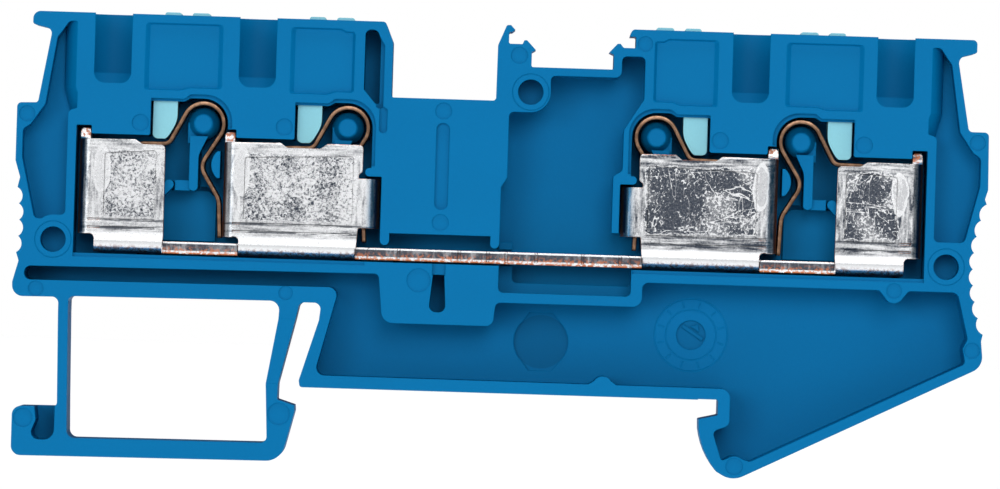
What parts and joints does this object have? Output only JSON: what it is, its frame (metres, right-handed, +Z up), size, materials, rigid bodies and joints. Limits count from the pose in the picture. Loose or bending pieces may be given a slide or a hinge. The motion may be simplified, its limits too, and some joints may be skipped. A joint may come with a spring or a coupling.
{
  "type": "din rail terminal block",
  "caption": "Slim rail-mounted feed-through terminal block with push-in spring clamps, push buttons, a central bridge notch, one current bar and an elastic rail foot.",
  "frame": {"origin": "middle of the 35 mm rail and of the block's width, on the plane where the rail touches the housing", "axes": "+X along the block to the fixed jaw, +Y to the closed side, +Z up, away from the rail"},
  "size_m": [0.0763, 0.0076, 0.0352],
  "materials": {
    "housing_plastic": "satin blue polyamide",
    "button_plastic": "satin pale cyan polyamide",
    "tinned_copper": "tin-plated copper, bright, with bare copper on the cut edges",
    "spring_steel": "heat-tinted stainless spring steel"
  },
  "bodies": {
    "block": {"housing": "housing_plastic", "latch_leg_outer": "housing_plastic", "latch_leg_inner": "housing_plastic", "current_bar": "tinned_copper", "spring_1": "spring_steel", "spring_2": "spring_steel", "spring_3": "spring_steel", "spring_4": "spring_steel"},
    "rail_latch": {"latch_foot": "housing_plastic"},
    "push_button_1": {"button_1": "button_plastic"},
    "clamping_leg_1": {"clamp_leg_1": "spring_steel"},
    "push_button_2": {"button_2": "button_plastic"},
    "clamping_leg_2": {"clamp_leg_2": "spring_steel"},
    "push_button_3": {"button_3": "button_plastic"},
    "clamping_leg_3": {"clamp_leg_3": "spring_steel"},
    "push_button_4": {"button_4": "button_plastic"},
    "clamping_leg_4": {"clamp_leg_4": "spring_steel"}
  },
  "joints": [
    {"name": "rail_latch_pull", "type": "slide", "parent": "block", "child": "rail_latch", "axis": [-1, 0, 0], "range_m": [0, 0.002], "stiffness_N_per_m": 15000, "deforming": ["latch_leg_outer", "latch_leg_inner"]},
    {"name": "button_press_1", "type": "slide", "parent": "block", "child": "push_button_1", "axis": [0, 0, -1], "range_m": [0, 0.0015], "stiffness_N_per_m": 400},
    {"name": "clamp_open_1", "type": "hinge", "parent": "block", "child": "clamping_leg_1", "pos_m": [-0.02348, 0, 0.02045], "axis": [0, -1, 0], "range_deg": [0, 23.7]},
    {"name": "button_press_2", "type": "slide", "parent": "block", "child": "push_button_2", "axis": [0, 0, -1], "range_m": [0, 0.0015], "stiffness_N_per_m": 400},
    {"name": "clamp_open_2", "type": "hinge", "parent": "block", "child": "clamping_leg_2", "pos_m": [-0.01213, 0, 0.02045], "axis": [0, -1, 0], "range_deg": [0, 23.7]},
    {"name": "button_press_3", "type": "slide", "parent": "block", "child": "push_button_3", "axis": [0, 0, -1], "range_m": [0, 0.0015], "stiffness_N_per_m": 400},
    {"name": "clamp_open_3", "type": "hinge", "parent": "block", "child": "clamping_leg_3", "pos_m": [0.01213, 0, 0.02045], "axis": [0, 1, 0], "range_deg": [0, 23.7]},
    {"name": "button_press_4", "type": "slide", "parent": "block", "child": "push_button_4", "axis": [0, 0, -1], "range_m": [0, 0.0015], "stiffness_N_per_m": 400},
    {"name": "clamp_open_4", "type": "hinge", "parent": "block", "child": "clamping_leg_4", "pos_m": [0.02348, 0, 0.02045], "axis": [0, 1, 0], "range_deg": [0, 23.7]}
  ],
  "couplings": [
    {"joint": "clamp_open_1", "follows": "button_press_1", "rad_per_m": 273.42},
    {"joint": "clamp_open_2", "follows": "button_press_2", "rad_per_m": 273.42},
    {"joint": "clamp_open_3", "follows": "button_press_3", "rad_per_m": 273.42},
    {"joint": "clamp_open_4", "follows": "button_press_4", "rad_per_m": 273.42}
  ]
}
